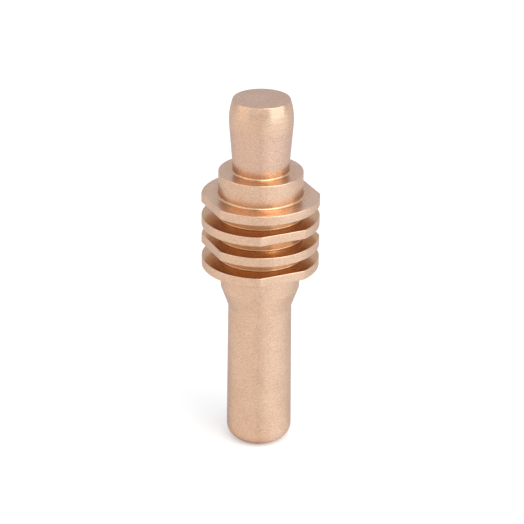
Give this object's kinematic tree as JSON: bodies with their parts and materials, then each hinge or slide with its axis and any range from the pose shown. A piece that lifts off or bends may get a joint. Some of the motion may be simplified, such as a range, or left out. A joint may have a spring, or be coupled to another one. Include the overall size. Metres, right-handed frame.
{
  "type": "plasma torch electrode",
  "caption": "Turned copper plasma torch electrode with a pressed-in emitter at its rounded tip, cooling fins with milled flats, a collar and a crowned rear spigot.",
  "frame": {"origin": "centre of the tip's flat face, which the electrode stands on", "axes": "+Z along the turning axis, from the tip to the rear face; the lowest fin's flats face -Y and +Y, the next fin's -X and +X"},
  "size_m": [0.0126, 0.0126, 0.0401],
  "materials": {
    "turned_copper": "fine turned, bare copper",
    "hafnium": "faced flush with the tip"
  },
  "bodies": {
    "root": {"copper_body": "turned_copper", "hafnium_emitter": "hafnium"}
  },
  "joints": []
}
